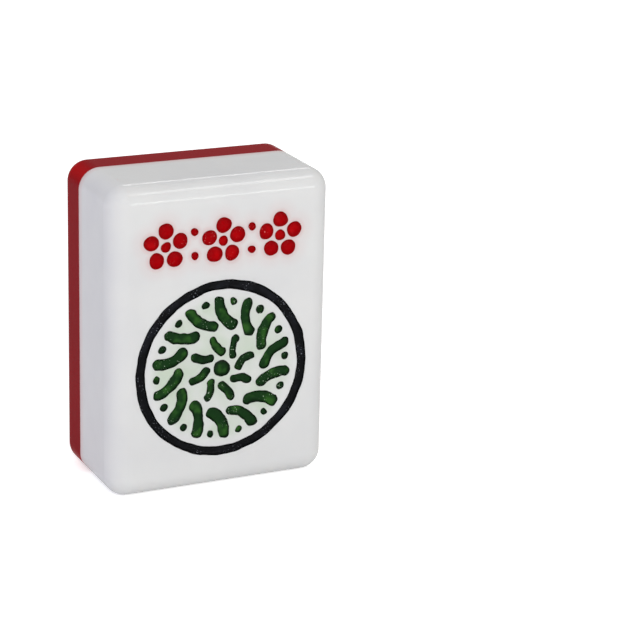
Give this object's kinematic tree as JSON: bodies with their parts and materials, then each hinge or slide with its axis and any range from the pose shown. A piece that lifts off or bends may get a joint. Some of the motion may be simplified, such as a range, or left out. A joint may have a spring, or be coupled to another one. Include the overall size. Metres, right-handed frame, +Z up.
{
  "type": "mahjong tile",
  "caption": "Upright rounded game tile with a white engraved face layer cemented to a translucent red back layer, its ornaments cut by a round-nosed cutter and lined with coloured paint.",
  "frame": {"origin": "middle of the short edge that the tile stands on, at the level of the table", "axes": "+Z up along the tile's height, +X across its width to the right of someone looking at the face, +Y from the face to the back"},
  "size_m": [0.022, 0.013, 0.03],
  "materials": {
    "white_acrylic": "polished, slightly translucent at the edges",
    "cement": "clear cement seen edge on",
    "red_acrylic": "polished, translucent",
    "black_paint": "gloss enamel",
    "green_paint": "gloss enamel",
    "red_paint": "gloss enamel",
    "gold_paint": "metallic enamel"
  },
  "bodies": {
    "root": {"face_block": "white_acrylic", "bond_film": "cement", "back_layer": "red_acrylic", "ring_paint": "black_paint", "outer_petal_paint": "green_paint", "inner_petal_paint": "green_paint", "rosette_dot_paint": "green_paint", "face_blossom_paint": "red_paint", "face_dot_paint": "red_paint", "branch_paint": "black_paint", "back_blossom_paint": "gold_paint", "back_eye_paint": "black_paint", "bud_paint": "gold_paint"}
  },
  "joints": []
}
